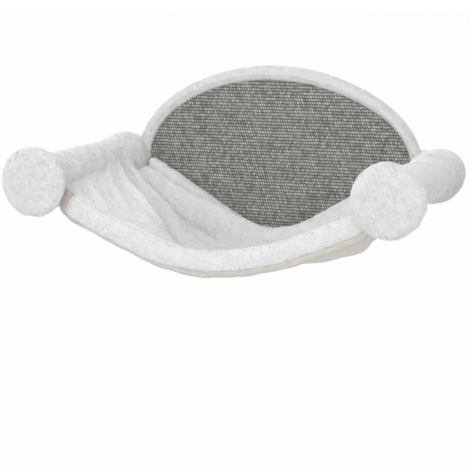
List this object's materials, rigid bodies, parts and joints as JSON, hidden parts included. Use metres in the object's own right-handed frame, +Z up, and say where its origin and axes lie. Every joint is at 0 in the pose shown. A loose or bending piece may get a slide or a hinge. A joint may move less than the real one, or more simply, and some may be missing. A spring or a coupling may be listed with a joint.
{
  "type": "wall-mounted cat hammock",
  "caption": "Cat hammock for a wall: a plush sling hangs between two padded arms in front of an oval sisal scratching board.",
  "frame": {"origin": "on the wall plane, halfway between the two arms at the height of their axes", "axes": "+X to the right along the wall, +Y into the wall, +Z up; the arms reach out along -Y"},
  "size_m": [0.54, 0.3, 0.2719],
  "materials": {
    "plush": "deep short-pile plush, near white",
    "sisal": "coarse woven sisal, grey",
    "underside_cloth": "brushed cloth, greyish beige",
    "binding": "woven tape with a sewn edge",
    "felt": "needle felt, light grey",
    "foam": "open foam",
    "wadding": "loose polyester wadding",
    "board": "raw fibreboard",
    "post_wood": "turned pine, unfinished",
    "steel": "zinc-plated steel",
    "brass": "turned brass"
  },
  "bodies": {
    "wall_unit": {"backboard": "board", "sisal_panel": "sisal", "rim_padding": "foam", "rim_cover": "plush", "rear_lining": "felt", "hanger_screws": "steel", "cover_staples": "steel", "arm_bolts": "steel", "arm_bolt_washers": "steel", "arm_locating_pins": "post_wood", "sling_top": "plush", "sling_wadding": "wadding", "sling_underside": "underside_cloth", "front_hem": "plush", "front_hem_wadding": "wadding", "rear_hem": "plush", "rear_hem_wadding": "wadding", "hem_binding": "binding", "left_hanger_plate": "steel", "left_arm_post": "post_wood", "left_arm_padding": "foam", "left_arm_tunnel": "plush", "left_arm_base_collar": "plush", "left_root_insert": "brass", "left_tip_insert": "brass", "right_hanger_plate": "steel", "right_arm_post": "post_wood", "right_arm_padding": "foam", "right_arm_tunnel": "plush", "right_arm_base_collar": "plush", "right_root_insert": "brass", "right_tip_insert": "brass"},
    "left_cap_travel": {"left_cap_washer": "steel"},
    "left_cap": {"left_cap_core": "board", "left_cap_padding": "foam", "left_cap_cover": "plush", "left_cap_bolt": "steel"},
    "right_cap_travel": {"right_cap_washer": "steel"},
    "right_cap": {"right_cap_core": "board", "right_cap_padding": "foam", "right_cap_cover": "plush", "right_cap_bolt": "steel"}
  },
  "joints": [
    {"name": "left_cap_slide", "type": "slide", "parent": "wall_unit", "child": "left_cap_travel", "axis": [0, -1, 0], "range_m": [0, 0.015]},
    {"name": "left_cap_turn", "type": "hinge", "parent": "left_cap_travel", "child": "left_cap", "pos_m": [-0.227, -0.283, 0], "axis": [0, -1, 0], "range_deg": [0, 4320]},
    {"name": "right_cap_slide", "type": "slide", "parent": "wall_unit", "child": "right_cap_travel", "axis": [0, -1, 0], "range_m": [0, 0.015]},
    {"name": "right_cap_turn", "type": "hinge", "parent": "right_cap_travel", "child": "right_cap", "pos_m": [0.227, -0.283, 0], "axis": [0, -1, 0], "range_deg": [0, 4320]}
  ],
  "couplings": [
    {"joint": "left_cap_slide", "follows": "left_cap_turn", "m_per_rad": 0.00019894},
    {"joint": "right_cap_slide", "follows": "right_cap_turn", "m_per_rad": 0.00019894}
  ]
}
